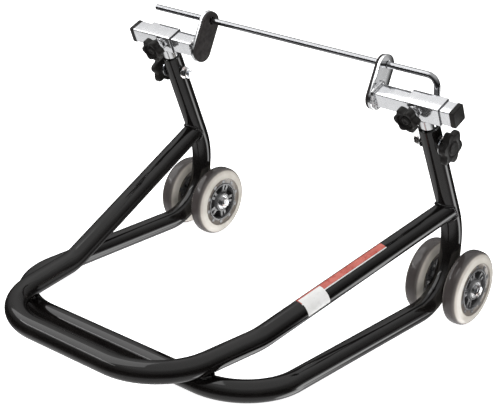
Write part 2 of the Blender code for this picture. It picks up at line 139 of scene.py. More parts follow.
# soft patches in the world: direction, cosines at the edge and at the core, radiance
WORLD_GLOWS = [((0.66, 0.67, -0.34), 0.93, 0.985, 0.5), ((0.65, 0.67, -0.40), 0.980, 0.990, 3.2),
               ((0.42, 0.52, -0.74), 0.950, 0.972, 2.2)]


# ---- materials -----------------------------------------------------------------------------------
EVEN = (1.0, 1.0, 1.0)


def node(tree, kind, inputs=(), **values):
    """A shader node: keywords set its own properties, then (socket, value) pairs its inputs."""
    made = tree.nodes.new(kind)
    for key, value in values.items():
        setattr(made, key, value)
    for socket, value in inputs:
        made.inputs[socket].default_value = value
    return made


def link(tree, source, target):
    tree.links.new(source, target)


def shader_of(tree):
    return tree.nodes["Principled BSDF"]


def principled(name, colour, roughness, metallic=0.0, **sockets):
    """A Principled material; further keywords set its other sockets."""
    mat = bpy.data.materials.new(name)
    mat.use_nodes = True
    sockets.update(Base_Color=(*colour, 1.0), Roughness=roughness, Metallic=metallic)
    for socket, value in sockets.items():
        shader_of(mat.node_tree).inputs[socket.replace("_", " ")].default_value = value
    return mat


def noise_of(tree, scale, detail=3.0, stretch=EVEN):
    """Noise in the object's own space, scale in cycles for each metre."""
    place = node(tree, "ShaderNodeTexCoord")
    mapping = node(tree, "ShaderNodeMapping", [("Scale", stretch)])
    texture = node(tree, "ShaderNodeTexNoise", [("Scale", scale), ("Detail", detail)])
    link(tree, place.outputs["Object"], mapping.inputs["Vector"])
    link(tree, mapping.outputs["Vector"], texture.inputs["Vector"])
    return texture.outputs["Fac"]


def ramp_of(tree, value, stops):
    """A colour ramp over (position, colour) stops."""
    ramp = node(tree, "ShaderNodeValToRGB")
    elements = ramp.color_ramp.elements
    while len(elements) < len(stops):
        elements.new(0.5)
    for element, (position, colour) in zip(elements, stops):
        element.position = position
        element.color = (*colour, 1.0)
    link(tree, value, ramp.inputs["Fac"])
    return ramp.outputs["Color"]


def vary_colour(tree, scale, stops, stretch=EVEN):
    """Base colour that drifts through the stops."""
    drift = ramp_of(tree, noise_of(tree, scale, stretch=stretch), stops)
    link(tree, drift, shader_of(tree).inputs["Base Color"])


def vary_roughness(tree, scale, low, high, stretch=EVEN):
    """Roughness that drifts between two values, as handling and dust leave it."""
    levels = [("From Min", 0.35), ("From Max", 0.65), ("To Min", low), ("To Max", high)]
    spread = node(tree, "ShaderNodeMapRange", levels)
    link(tree, noise_of(tree, scale, 5.0, stretch), spread.inputs["Value"])
    link(tree, spread.outputs["Result"], shader_of(tree).inputs["Roughness"])


def add_bump(tree, scale, detail, strength, distance, stretch=EVEN):
    """A bump of the given depth in metres from noise."""
    bump = node(tree, "ShaderNodeBump", [("Strength", strength), ("Distance", distance)])
    link(tree, noise_of(tree, scale, detail, stretch), bump.inputs["Height"])
    link(tree, bump.outputs["Normal"], shader_of(tree).inputs["Normal"])


def material(name, base, tint, wear, bump=None, **sockets):
    """A material from its base (colour, roughness, metallic) and the arguments of its three drifts."""
    mat = principled(name, *base, **sockets)
    vary_colour(mat.node_tree, *tint)
    vary_roughness(mat.node_tree, *wear)
    if bump:
        add_bump(mat.node_tree, *bump)
    return mat


def urethane():
    """Smoky urethane: cream where the side wall is thin, dark at the tread, cloudy next to the core."""
    mat = principled("urethane", (0.7, 0.66, 0.6), 0.12, IOR=1.45, Transmission_Weight=0.22)
    tree = mat.node_tree
    # colours by the distance in millimetres from the wheel's own axle, its local Z
    bands = [(28.0, (0.16, 0.14, 0.125)), (33.0, (0.26, 0.23, 0.20)), (35.4, (0.34, 0.305, 0.27)),
             (36.4, (0.80, 0.76, 0.68)), (42.0, (0.88, 0.84, 0.77)), (46.2, (0.80, 0.75, 0.68)),
             (47.8, (0.20, 0.18, 0.17)), (49.6, (0.085, 0.074, 0.072))]
    place = node(tree, "ShaderNodeTexCoord")
    flat = node(tree, "ShaderNodeVectorMath", [(1, (1.0, 1.0, 0.0))], operation="MULTIPLY")
    length = node(tree, "ShaderNodeVectorMath", operation="LENGTH")
    share = node(tree, "ShaderNodeMapRange", [("From Max", WHEEL_R * MM)])
    link(tree, place.outputs["Object"], flat.inputs[0])
    link(tree, flat.outputs["Vector"], length.inputs[0])
    link(tree, length.outputs["Value"], share.inputs["Value"])
    banded = ramp_of(tree, share.outputs["Result"], [(radius / WHEEL_R, colour) for radius, colour in bands])
    cloud = ramp_of(tree, noise_of(tree, 55.0), [(0.3, (0.84, 0.83, 0.82)), (0.7, (1.0, 1.0, 1.0))])
    mix = node(tree, "ShaderNodeMix", [("Factor", 1.0)], data_type="RGBA", blend_type="MULTIPLY")
    link(tree, banded, mix.inputs["A"])
    link(tree, cloud, mix.inputs["B"])
    link(tree, mix.outputs["Result"], shader_of(tree).inputs["Base Color"])
    vary_roughness(tree, 200.0, 0.08, 0.18)
    return mat


# base: colour, roughness, metallic; tint: noise scale, colour stops; wear: noise scale, least and most
# roughness; bump: noise scale, detail, strength, depth in metres.  A last triple stretches the noise.
RECIPES = {
    # black powder coat: a smooth deep gloss with a brownish cast and a trace of orange peel
    "gloss_paint": dict(
        base=((0.005, 0.0044, 0.0042), 0.06), IOR=1.5,
        tint=(30.0, [(0.35, (0.0034, 0.0029, 0.0028)), (0.7, (0.0066, 0.0058, 0.0054))]),
        wear=(60.0, 0.04, 0.09), bump=(90.0, 1.0, 0.02, 0.0002)),
    # bright chrome plate over polished steel, with faint waviness and a cool cast
    "chrome": dict(
        base=((0.90, 0.905, 0.92), 0.07, 1.0),
        tint=(60.0, [(0.3, (0.87, 0.875, 0.89)), (0.7, (0.94, 0.945, 0.955))]),
        wear=(120.0, 0.05, 0.11), bump=(200.0, 2.0, 0.03, 0.0002)),
    # ground and plated round bar, greyer than the chromed tubes
    "rod_steel": dict(
        base=((0.36, 0.363, 0.375), 0.14, 1.0),
        tint=(60.0, [(0.3, (0.33, 0.333, 0.345)), (0.7, (0.38, 0.384, 0.395))]),
        wear=(160.0, 0.09, 0.16), bump=(300.0, 2.0, 0.02, 0.0002)),
    # satin chrome over rolled square tube: a trace of the lines left by drawing it, along X
    "brushed_chrome": dict(
        base=((0.90, 0.905, 0.92), 0.10, 0.94),
        tint=(80.0, [(0.3, (0.86, 0.865, 0.885)), (0.7, (0.93, 0.935, 0.95))], (0.12, 1.0, 1.0)),
        wear=(300.0, 0.07, 0.14, (0.05, 1.0, 1.0)), bump=(1400.0, 3.0, 0.015, 0.0001, (0.03, 1.0, 1.0))),
    # bright zinc plate with bluish and pinkish tints
    "zinc": dict(
        base=((0.80, 0.81, 0.84), 0.2, 1.0),
        tint=(130.0, [(0.30, (0.66, 0.74, 0.86)), (0.5, (0.88, 0.88, 0.88)), (0.70, (0.88, 0.76, 0.72))]),
        wear=(350.0, 0.16, 0.30), bump=(1200.0, 2.0, 0.10, 0.0001)),
    # ground steel
    "bearing_steel": dict(
        base=((0.56, 0.56, 0.57), 0.24, 1.0),
        tint=(220.0, [(0.3, (0.46, 0.46, 0.47)), (0.7, (0.66, 0.66, 0.66))]), wear=(900.0, 0.18, 0.34)),
    # moulded black nylon with a fine spark-eroded grain
    "knob_plastic": dict(
        base=((0.008, 0.0075, 0.0075), 0.36), Specular_IOR_Level=0.18,
        tint=(70.0, [(0.3, (0.008, 0.007, 0.007)), (0.7, (0.017, 0.016, 0.015))]),
        wear=(500.0, 0.28, 0.44), bump=(2600.0, 2.0, 0.2, 0.00012)),
    # black rubber with a dull, slightly chalky skin
    "pad_rubber": dict(
        base=((0.020, 0.017, 0.017), 0.6), Specular_IOR_Level=0.2,
        tint=(110.0, [(0.3, (0.017, 0.014, 0.014)), (0.75, (0.040, 0.036, 0.035))]),
        wear=(260.0, 0.48, 0.72), bump=(1500.0, 4.0, 0.3, 0.00015)),
    # dark grey glass-filled nylon with a satin face and faint flow marks
    "core_plastic": dict(
        base=((0.085, 0.085, 0.088), 0.2), Specular_IOR_Level=0.9,
        tint=(90.0, [(0.3, (0.055, 0.055, 0.057)), (0.7, (0.105, 0.104, 0.106))]),
        wear=(300.0, 0.15, 0.28), bump=(900.0, 3.0, 0.08, 0.0001)),
    # painted shade: a dark, dull ring laid on the sleeve's tube ends, standing in for the shade and dark reflection on
    # its end faces
    "sawn_steel": dict(
        base=((0.020, 0.018, 0.018), 0.5, 0.3),
        tint=(300.0, [(0.3, (0.012, 0.011, 0.011)), (0.7, (0.035, 0.032, 0.031))]), wear=(600.0, 0.4, 0.6)),
    # weld plated over with the arm: chrome mottled at random down to dark grey, the dark grey being painted shade and
    # dark reflection on the bead
    "chrome_weld": dict(
        base=((0.7, 0.7, 0.72), 0.2, 1.0),
        tint=(240.0, [(0.30, (0.34, 0.33, 0.33)), (0.44, (0.62, 0.62, 0.63)), (0.62, (0.86, 0.86, 0.87))]),
        wear=(400.0, 0.12, 0.30), bump=(500.0, 3.0, 0.25, 0.0003)),
    # glossy white vinyl, a little yellowed
    "label_white": dict(
        base=((0.86, 0.855, 0.84), 0.3), Coat_Weight=0.4, Coat_Roughness=0.1,
        tint=(60.0, [(0.3, (0.80, 0.795, 0.78)), (0.7, (0.90, 0.895, 0.885))]), wear=(180.0, 0.24, 0.40)),
    # glossy red vinyl, faded in patches
    "label_red": dict(
        base=((0.60, 0.10, 0.07), 0.3), Coat_Weight=0.4, Coat_Roughness=0.1,
        tint=(90.0, [(0.3, (0.50, 0.085, 0.06)), (0.7, (0.66, 0.16, 0.12))]), wear=(180.0, 0.24, 0.40)),
}
LOOKS = {name: material(name, **recipe) for name, recipe in RECIPES.items()}
LOOKS["urethane"] = urethane()
SLOTS = {name: name for name in LOOKS if not name.startswith("label_")}
SLOTS.update(brushed_chrome="chrome", chrome_weld="chrome", sawn_steel="chrome", rod_steel="chrome")


# ---- mesh helpers --------------------------------------------------------------------------------
def linked(name, data):
    """A new object in the scene."""
    obj = bpy.data.objects.new(name, data)
    bpy.context.scene.collection.objects.link(obj)
    return obj


def mesh_of(name, bm, scale=1.0):
    """The bmesh as a mesh with its normals outward; the bmesh is freed."""
    bmesh.ops.recalc_face_normals(bm, faces=bm.faces)
    bmesh.ops.scale(bm, vec=(scale, scale, scale), verts=bm.verts)
    mesh = bpy.data.meshes.new(name)
    bm.to_mesh(mesh)
    bm.free()
    return mesh


def piece(name, bm, look, body, matrix=None, replaces=(), sharp=32.0):
    """A bmesh in millimetres, made a named piece that rides on a body and stands for CAD nodes."""
    finished(name, mesh_of(name, bm, MM), look, body, matrix, replaces, sharp)


def finished(name, mesh, look, body, matrix=None, replaces=(), sharp=32.0):
    """A mesh in metres, placed, shaded and handed to its body."""
    mesh.shade_smooth()
    mesh.set_sharp_from_angle(angle=radians(sharp))
    mesh.materials.append(LOOKS[look])
    obj = linked(name, mesh)
    if matrix is not None:
        placed = matrix.copy()
        placed.translation = placed.translation * MM
        obj.matrix_world = placed
    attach(obj, body)
    if replaces:
        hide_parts(*replaces)


def bridge(bm, first, second):
    """Join two rings of vertices by quads, or a ring and a single vertex by triangles."""
    count = max(len(first), len(second))
    for i in range(count):
        j = (i + 1) % count
        corners = [first[i % len(first)], first[j % len(first)], second[j % len(second)], second[i % len(second)]]
        bm.faces.new(list(dict.fromkeys(corners)))


def skin(rings, closed=False, shift=0):
    """A bmesh skinned over rings of points; closed joins the last ring to the first, moved on by a shift."""
    bm = bmesh.new()
    rows = [[bm.verts.new(point) for point in ring] for ring in rings]
    for first, second in zip(rows, rows[1:]):
        bridge(bm, first, second)
    if closed:
        bridge(bm, rows[-1], rows[0][shift:] + rows[0][:shift])
    else:
        for row in (rows[0], rows[-1]):
            if len(row) > 2:
                bm.faces.new(row)
    return bm


def circle_ring(radius, height, count=72):
    return [Vector((radius * cos(2 * pi * i / count), radius * sin(2 * pi * i / count), height)) for i in range(count)]


def ring_about(centre, spoke, side, reach, count):
    """Points round a centre, in the plane of two unit directions."""
    turns = [2 * pi * k / count for k in range(count)]
    return [centre + (spoke * cos(turn) + side * sin(turn)) * reach for turn in turns]


def turned(profile, segments=64, closed=False):
    """A body of revolution about local Z from (height, radius) pairs."""
    return skin([circle_ring(radius, height, segments) for height, radius in profile], closed)


def eased(start, point, end, steps):
    """Points along the parabola that rounds a corner from start to end."""
    shares = [step / steps for step in range(steps + 1)]
    return [tuple(start * (1 - t) ** 2 + point * 2 * t * (1 - t) + end * t ** 2) for t in shares]


def rounded(profile, size, steps=3):
    """The closed profile with its corners rounded to about the given size."""
    result = []
    for i, point in enumerate(profile):
        point = Vector(point)
        back = Vector(profile[i - 1]) - point
        ahead = Vector(profile[(i + 1) % len(profile)]) - point
        reach = min(size, back.length * 0.45, ahead.length * 0.45)
        result += eased(point + back.normalized() * reach, point, point + ahead.normalized() * reach, steps)
    return result


def filleted(corners, bend_radii, step=3.0):
    """Points along straight runs joined by arcs; one bend radius for each inner corner."""
    points = [Vector(corners[0])]
    for before, corner, after, radius in zip(corners, corners[1:], corners[2:], bend_radii):
        corner = Vector(corner)
        back = (Vector(before) - corner).normalized()
        ahead = (Vector(after) - corner).normalized()
        turn = pi - back.angle(ahead)
        reach = radius * tan(turn / 2)
        start = corner + back * reach
        normal = (ahead - back * ahead.dot(back)).normalized()
        middle = start + normal * radius
        steps = max(3, round(turn / radians(step)))
        for i in range(steps + 1):
            angle = turn * i / steps
            points.append(middle - normal * radius * cos(angle) - back * radius * sin(angle))
    points.append(Vector(corners[-1]))
    return points


def tube_frames(points):
    """(point, spoke direction, side direction) for each point, with no twist."""
    frames = []
    normal = None
    for i, point in enumerate(points):
        before = points[max(i - 1, 0)]
        after = points[min(i + 1, len(points) - 1)]
        along = (after - before).normalized()
        if 0 < i < len(points) - 1:
            along = ((point - before).normalized() + (after - point).normalized()).normalized()
        if normal is None:
            normal = Vector((0.0, 0.0, 1.0)) if abs(along.x) > 0.9 else Vector((1.0, 0.0, 0.0))
        normal = (normal - along * normal.dot(along)).normalized()
        frames.append((point, normal, along.cross(normal)))
    return frames


def pipe(points, radius, bore, sides=56, ease=0.5):
    """A round tube along the points with slightly rounded ends, hollow when it has a bore."""
    first = points[0] + (points[1] - points[0]).normalized() * ease
    last = points[-1] + (points[-2] - points[-1]).normalized() * ease
    frames = tube_frames([points[0], first, *points[1:-1], last, points[-1]])

    def rings(reach, end_reach):
        reaches = [end_reach, *[reach] * (len(frames) - 2), end_reach]
        return [ring_about(*frame, value, sides) for frame, value in zip(frames, reaches)]

    outer = rings(radius, radius - ease)
    if not bore:
        return skin(outer)
    return skin(outer + rings(bore, bore + ease * 0.6)[::-1], closed=True)


def bead_mesh(loop, radius, ripple, seed, sides=14):
    """A weld bead along a closed loop of points: lens-like ripples over an uneven round run."""
    rings = []
    for i, point in enumerate(loop):
        along = (loop[(i + 1) % len(loop)] - loop[i - 1]).normalized()
        lift = along.orthogonal().normalized()
        side = along.cross(lift)
        if i:
            along = side.cross(lift)
            lift = (reference - along * reference.dot(along)).normalized()
            side = along.cross(lift)
        reference = lift
        swell = 1 + ripple * sin(2 * pi * i / 4.0) + 0.22 * noise.noise(point * 0.21 + Vector((seed, 0, 0)))
        rings.append(ring_about(point, lift, side, radius * swell, sides))
    shift = min(range(sides), key=lambda k: (rings[0][k] - rings[-1][0]).length)
    return skin(rings, closed=True, shift=shift)


def resampled(loop, spacing):
    """Points at even spacing round a closed loop."""
    points = [*loop, loop[0]]
    total = sum((b - a).length for a, b in zip(points, points[1:]))
    count = max(6, round(total / spacing / 4) * 4)
    result = []
    walked = 0.0
    index = 0
    for i in range(count):
        target = total * i / count
        while index < len(points) - 2 and walked + (points[index + 1] - points[index]).length < target - 1e-9:
            walked += (points[index + 1] - points[index]).length
            index += 1
        run = points[index + 1] - points[index]
        result.append(points[index] + run * ((target - walked) / max(run.length, 1e-9)))
    return result


def rounded_square(half, corner, steps=6):
    """A square outline with round corners in local XY."""
    outline = []
    for quarter in range(4):
        middle_turn = radians(45 + 90 * quarter)
        middle = Vector((cos(middle_turn), sin(middle_turn))) * (half - corner) * sqrt(2)
        for i in range(steps + 1):
            turn = radians(90 * quarter + 90 * i / steps)
            outline.append(middle + Vector((cos(turn), sin(turn))) * corner)
    return outline


def at_height(outline, height, shrink=0.0):
    """The outline's points at a height, drawn in towards its middle."""
    middle = sum(outline, Vector((0.0, 0.0))) / len(outline)
    ring = []
    for point in outline:
        inward = (middle - point).normalized() * shrink
        ring.append(Vector((point.x + inward.x, point.y + inward.y, height)))
    return ring


def square_tube(half, corner, bore_half, bore_corner, low, high, ease=0.35):
    """Square tube with rounded corners and eased cut ends."""
    outer = rounded_square(half, corner)
    inner = rounded_square(bore_half, bore_corner)
    cuts = [(outer, low, ease), (outer, low + ease), (outer, high - ease), (outer, high, ease),
            (inner, high, -ease * 0.5), (inner, high - ease * 0.6), (inner, low + ease * 0.6),
            (inner, low, -ease * 0.5)]
    return skin([at_height(*section) for section in cuts], closed=True)


def pierced_plate(radius, span, thickness, hole, ease=0.8, flare=1.5):
    """A stadium plate with rounded edges and a chamfered hole near its first round end."""
    rings = []
    for k in range(5):
        turn = radians(90 * k / 4)
        outline = stadium(radius - ease * (1 - cos(turn)), span)
        rings.append([Vector((p.x, p.y - PLATE_DROP, ease * (1 - sin(turn)))) for p in outline])
    top = [[Vector((p.x, p.y, thickness - p.z)) for p in ring] for ring in rings]
    tool = turned([(-1.0, hole + flare), (0.5, hole), (thickness - 0.5, hole), (thickness + 1.0, hole + flare)], 48)
    return boolean(skin(rings[::-1] + top), tool)


def stadium(radius, span, steps=28):
    """A stadium outline: one round end on the origin, the other at -Y."""
    top = [Vector((radius * cos(pi * i / steps), radius * sin(pi * i / steps))) for i in range(steps + 1)]
    bottom = [Vector((-point.x, -point.y - span)) for point in top]
    return top + bottom


def boolean(body_bm, cutter_bm):
    """The first bmesh with the second taken out, both in millimetres and in the same space."""
    body, tool = [linked("boolean_part", mesh_of("boolean_part", bm)) for bm in (body_bm, cutter_bm)]
    modifier = body.modifiers.new("cut", "BOOLEAN")
    modifier.operation = "DIFFERENCE"
    modifier.solver = "EXACT"
    modifier.object = tool
    bpy.context.view_layer.update()
    mesh = bpy.data.meshes.new_from_object(body.evaluated_get(bpy.context.evaluated_depsgraph_get()))
    result = bmesh.new()
    result.from_mesh(mesh)
    for obj in (body, tool):
        used = obj.data
        bpy.data.objects.remove(obj)
        bpy.data.meshes.remove(used)
    bpy.data.meshes.remove(mesh)
    return result


def joined(*parts):
    """Several bmeshes as one."""
    result = bmesh.new()
    for part in parts:
        mesh = mesh_of("joined_part", part)
        result.from_mesh(mesh)
        bpy.data.meshes.remove(mesh)
    return result


def moved(bm, matrix):
    """The bmesh transformed by a matrix."""
    bmesh.ops.transform(bm, matrix=matrix, verts=bm.verts)
    return bm


def spun(bm, degrees):
    """The bmesh turned about local Z."""
    bmesh.ops.rotate(bm, cent=(0, 0, 0), matrix=Matrix.Rotation(radians(degrees), 3, "Z"), verts=bm.verts)
    return bm


# ---- places --------------------------------------------------------------------------------------
def mirrored(point, side):
    return Vector((point[0] * side, point[1] + AXLE_Y, point[2]))


def basis(origin, x_axis, y_axis, z_axis):
    return Matrix.Translation(origin) @ Matrix((x_axis, y_axis, z_axis)).transposed().to_4x4()


def along_x(x, y, z, side=1):
    """Local Z along X, outward on the given side, and local Y up."""
    direction = Vector((side, 0.0, 0.0))
    up = Vector((0.0, 0.0, 1.0))
    return basis(Vector((x, y, z)), up.cross(direction), up, direction)


def upright_axis(side):
    top = mirrored(UPRIGHT_TOP, side)
    return top, (top - mirrored(UPRIGHT_KINK, side)).normalized()


def mast_matrix(side):
    """Origin at the upright's rim, local Z up the mast, local X near the stand's X."""
    top, up = upright_axis(side)
    x_axis = (Vector((1.0, 0.0, 0.0)) - up * up.x).normalized()
    return basis(top, x_axis, up.cross(x_axis), up)


def clamp_point(side):
    top, up = upright_axis(side)
    return top + up * CLAMP_H


def sleeve_frame(side):
    top, up = upright_axis(side)
    tilt = radians(SLEEVE_TILT)
    front = Vector((0.0, -cos(tilt), -sin(tilt)))
    crown = Vector((0.0, -sin(tilt), cos(tilt)))
    return top + up * SLEEVE_H, front, crown


def square_matrix(side, x):
    """Local Z along X outward, local Y to the top of the square section."""
    point, front, crown = sleeve_frame(side)
    outward = Vector((side, 0.0, 0.0))
    return basis(Vector((x * side, point.y, point.z)), crown.cross(outward), crown, outward)


def plate_matrix(side, x):
    lean = radians(PLATE_LEAN)
    crown = Vector((0.0, sin(lean), cos(lean)))
    outward = Vector((side, 0.0, 0.0))
    return basis(mirrored((x, *ROD_YZ), side), crown.cross(outward), crown, outward)


# ---- frame ---------------------------------------------------------------------------------------
def both_sides(corners):
    """The right side's corners mirrored to the left, then the right side's own, back to front."""
    return [mirrored(corner, -1) for corner in corners] + [mirrored(corner, 1) for corner in reversed(corners)]


def base_points():
    bend_right, bend_left = BASE_FRONT_BENDS
    bends = [UPRIGHT_BEND, BASE_REAR_BEND, bend_left, bend_right, BASE_REAR_BEND, UPRIGHT_BEND]
    return filleted(both_sides([UPRIGHT_TOP, UPRIGHT_KINK, BASE_REAR, BASE_FRONT]), bends)


def handle_points():
    return filleted(both_sides([HANDLE_TOP, HANDLE_BEND, HANDLE_FRONT]), [*HANDLE_BENDS, *HANDLE_BENDS[::-1]])


def cope(bm, tree, end, inward, reach):
    """Moves the ring of vertices at a tube's end along it until each lies on the other tube."""
    for vert in bm.verts:
        if (vert.co - end).length > TUBE_R + 0.2:
            continue
        hit = tree.ray_cast(vert.co + inward * reach, -inward, reach * 1.5)[0]
        if hit is not None:
            vert.co = hit + inward * 0.1


def joint_loop(tree, points):
    """Where the handle's outside meets the upright: the loop that its weld follows."""
    end = points[0]
    inward = (points[1] - end).normalized()
    spoke = inward.orthogonal().normalized()
    starts = ring_about(end, spoke, inward.cross(spoke), TUBE_R + 0.6, 64)
    hits = [tree.ray_cast(start + inward * 60, -inward, 90)[0] for start in starts]
    return [hit for hit in hits if hit is not None]


def crossing_loop(side, height, reach=8.5, count=48):
    """The ring round the point where handle and base loop touch, in the narrowing gap between them."""
    share = (BASE_FRONT[1] - HANDLE_BEND[1]) / (HANDLE_FRONT[1] - HANDLE_BEND[1])
    x = HANDLE_BEND[0] + (HANDLE_FRONT[0] - HANDLE_BEND[0]) * share
    centre = mirrored((x, BASE_FRONT[1], height), side)
    turns = [2 * pi * k / count for k in range(count)]
    return [centre + Vector((reach * cos(t), reach * sin(t), 0.35 * cos(2 * t))) for t in turns]


def make_frame():
    bore = TUBE_R - TUBE_WALL
    base_bm = pipe(base_points(), TUBE_R, bore)
    tree = BVHTree.FromBMesh(base_bm)
    points = handle_points()
    handle_bm = pipe(points, TUBE_R, bore)
    for name, run, seed in (("left", points, 3), ("right", points[::-1], 8)):
        cope(handle_bm, tree, run[0], (run[1] - run[0]).normalized(), 60.0)
        loop = resampled(joint_loop(tree, run), 0.9)
        piece("handle_weld_" + name, bead_mesh(loop, 2.3, 0.10, seed), "gloss_paint", "frame")
    for name, side in SIDES:
        loop = resampled(crossing_loop(side, 2 * TUBE_R + 0.1), 0.9)
        piece("crossing_weld_" + name, bead_mesh(loop, 2.2, 0.12, 20 + side), "gloss_paint", "frame")
    holes = [moved(turned([(-30, HOLE_R), (30, HOLE_R)], 24), along_x(*clamp_point(side))) for name, side in SIDES]
    piece("base_loop_tube", boolean(base_bm, joined(*holes)), "gloss_paint", "frame", replaces=["base_loop"])
    piece("handle_loop_tube", handle_bm, "gloss_paint", "frame", replaces=["handle_loop"])
    for name, side in SIDES:
        boss = washer_bm(BOSS_R, HOLE_R, -BOSS_HALF, BOSS_HALF, 0.5, 64)
        piece("axle_boss_tube_" + name, boss, "gloss_paint", "frame", along_x(AXLE_X * side, AXLE_Y, AXLE_Z),
              ["axle_boss_" + name])


# ---- stickers ------------------------------------------------------------------------------------
def wrap(start, end, low_turn, high_turn, lift, steps=24, across=10):
    """A thin strip wrapped on the handle's right rail, between two distances down from its upper end."""
    top = mirrored(HANDLE_TOP, 1)
    along = (mirrored(HANDLE_BEND, 1) - top).normalized()
    spoke = (Vector((1.0, 0.0, 0.0)) - along * along.x).normalized()
    side = along.cross(spoke)
    turns = [radians(low_turn + (high_turn - low_turn) * k / across) for k in range(across + 1)]
    spreads = [spoke * cos(turn) + side * sin(turn) for turn in turns]
    rings = []
    for i in range(steps + 1):
        point = top + along * (start + (end - start) * i / steps)
        outer = [point + spread * (TUBE_R + lift) for spread in spreads]
        rings.append(outer + [point + spread * (TUBE_R - 0.2) for spread in reversed(spreads)])
    return skin(rings)


def make_stickers():
    piece("stripe_sticker", wrap(117.0, 257.0, 68.0, 113.0, 0.12), "label_red", "frame")
    piece("stripe_edge", wrap(117.0, 257.0, 61.0, 67.0, 0.12), "label_white", "frame")
    piece("blank_label", wrap(221.0, 256.0, -10.0, 101.0, 0.24), "label_white", "frame")


# ---- wheels --------------------------------------------------------------------------------------
def tyre_bm():
    """Round-crowned urethane tyre with a moulded step round the core and a fine part line."""
    half = WHEEL_WIDTH / 2
    turns = [radians(90 * i / 16) for i in range(16)]
    crown = [((half - 0.8) * cos(turn) ** 0.62, 38.5 + 11.5 * sin(turn) ** 0.9) for turn in turns] + [(0.0, WHEEL_R)]
    side = [(half - 2.0, CORE_R + 0.15), (half - 1.8, 33.6), (half - 1.3, 34.6), (half - 0.15, 35.2), (half, 36.2)]
    right = side + crown
    left = [(-height, radius) for height, radius in reversed(right[:-1])]
    return turned(right + left, 112, closed=True)


def window_outline(inner, outer, half_inner, half_outer, corner):
    """A fan-shaped outline centred on local +X with rounded corners, half-widths in millimetres."""
    corners = [(inner, -half_inner), (outer - 0.6, -half_outer), (outer + 0.4, 0.0), (outer - 0.6, half_outer),
               (inner, half_inner)]
    return [Vector(point) for point in rounded(corners, corner, 4)]


def prism(outline, deep):
    return skin([at_height(outline, -deep), at_height(outline, deep)])


def core_mesh():
    """Spoked core: rim with lugs in the tyre, paired thin spokes, hub with bearing seats."""
    half = WHEEL_WIDTH / 2
    seat = 11.05
    ledge = half - BEARING_WIDTH
    outside = [(half, seat), (half, 13.4), (half - 3.6, 14.4), (half - 3.6, 25.0), (half - 0.9, 25.6),
               (half - 0.9, CORE_R + 0.1)]
    other = [(-height, radius) for height, radius in reversed(outside)]
    inside = [(-ledge, seat), (-ledge, 9.4), (ledge, 9.4), (ledge, seat)]
    body = turned(rounded(outside + other + inside, 0.5, 2), 100, closed=True)
    windows = (((14.6, 24.2, 4.8, 9.6, 1.5), 0), ((17.0, 24.2, 1.0, 1.9, 0.8), 36))
    cutters = [spun(prism(window_outline(*window), WHEEL_WIDTH), 72 * i + offset)
               for i in range(5) for window, offset in windows]
    core = boolean(body, joined(*cutters))
    outline = [Vector(point) for point in rounded([(28.6, -2.6), (33.2, -3.3), (33.2, 3.3), (28.6, 2.6)], 0.9)]
    levels = ((half - 2.4, 0.0), (half - 1.8, 0.0), (half - 1.5, 0.3))
    lugs = [spun(skin([at_height(outline, height * face, shrink) for height, shrink in levels]), 36 * i + 18)
            for i in range(10) for face in (1, -1)]
    return mesh_of("wheel_core", joined(core, *lugs), MM)


def bearing_bm():
    """Ball bearing with a pressed shield between its rings."""
    face = [(3.5, BEARING_BORE), (3.5, 6.1), (3.1, 6.5), (3.0, 6.7), (3.15, 7.2), (3.15, 8.9), (3.0, 9.3), (3.5, 9.7),
            (3.5, 10.9)]
    back = [(-height, radius) for height, radius in reversed(face)]
    return turned(rounded(face + back, 0.25, 2), closed=True)


def hex_ring(apothem, cap, height, drop, count=72):
    """One ring of a hexagon whose corners are turned down to the cap radius."""
    ring = []
    for i in range(count):
        turn = 2 * pi * i / count
        local = (turn + pi / 6) % (pi / 3) - pi / 6
        reach = apothem / cos(local)
        trimmed = min(reach, cap) if cap else reach
        lowered = max(0.0, reach - drop) * CHAMFER_SLOPE if drop else 0.0
        ring.append(Vector((trimmed * cos(turn), trimmed * sin(turn), height - lowered)))
    return ring


def thread_rings(radius, low, high, pitch=1.25, depth=0.5):
    """Rings of a threaded end, from low to high."""
    rings = []
    for i in range(max(1, int((high - low) / pitch))):
        at = low + pitch * i
        rings.append(circle_ring(radius - depth, at + pitch * 0.1))
        rings.append(circle_ring(radius, at + pitch * 0.45))
        rings.append(circle_ring(radius, at + pitch * 0.6))
    return rings


def hex_bolt_bm(head_at, head_height, shank_end, apothem=HEX_HALF, washer=0.4):
    """Hexagon-headed bolt with a chamfered head, washer face, plain shank and threaded end."""
    cap = apothem * 1.04
    rings = [circle_ring(0.01, shank_end), circle_ring(BOLT_R - 0.9, shank_end)]
    rings += thread_rings(BOLT_R, shank_end + 0.6, shank_end + 14.0)
    rings += [circle_ring(BOLT_R, shank_end + 15.0), circle_ring(BOLT_R, head_at), circle_ring(apothem - 0.3, head_at)]
    rings += [circle_ring(apothem - 0.3, head_at + washer), hex_ring(apothem, None, head_at + washer + 0.2, 0)]
    top = head_at + head_height
    rings += [hex_ring(apothem, None, top, cap), hex_ring(apothem, cap, top, 0), circle_ring(apothem - 1.0, top)]
    rings += [circle_ring(apothem - 1.5, top - 0.25), circle_ring(0.01, top - 0.25)]
    return skin(rings)


def hex_nut_bm(low, height, apothem=HEX_HALF, bore=4.1, collar=0.0):
    """Hexagon nut with turned corners; a collar makes the rounded top of a locking nut."""
    cap = apothem * 1.04
    top = low + height - collar
    rings = [circle_ring(bore, low + 0.4), circle_ring(bore + 0.6, low), hex_ring(apothem, cap, low, 0)]
    rings += [hex_ring(apothem, None, low + 0.5, 0), hex_ring(apothem, None, top, cap), hex_ring(apothem, cap, top, 0)]
    if collar:
        rings += [circle_ring(apothem - 0.7, top + 0.1), circle_ring(apothem - 0.9, top + collar * 0.6)]
        rings += [circle_ring(apothem - 1.5, top + collar), circle_ring(bore + 0.5, top + collar)]
    else:
        rings += [circle_ring(apothem - 0.8, top), circle_ring(bore + 0.6, top)]
    rings.append(circle_ring(bore, low + height - 0.4))
    return skin(rings, closed=True)


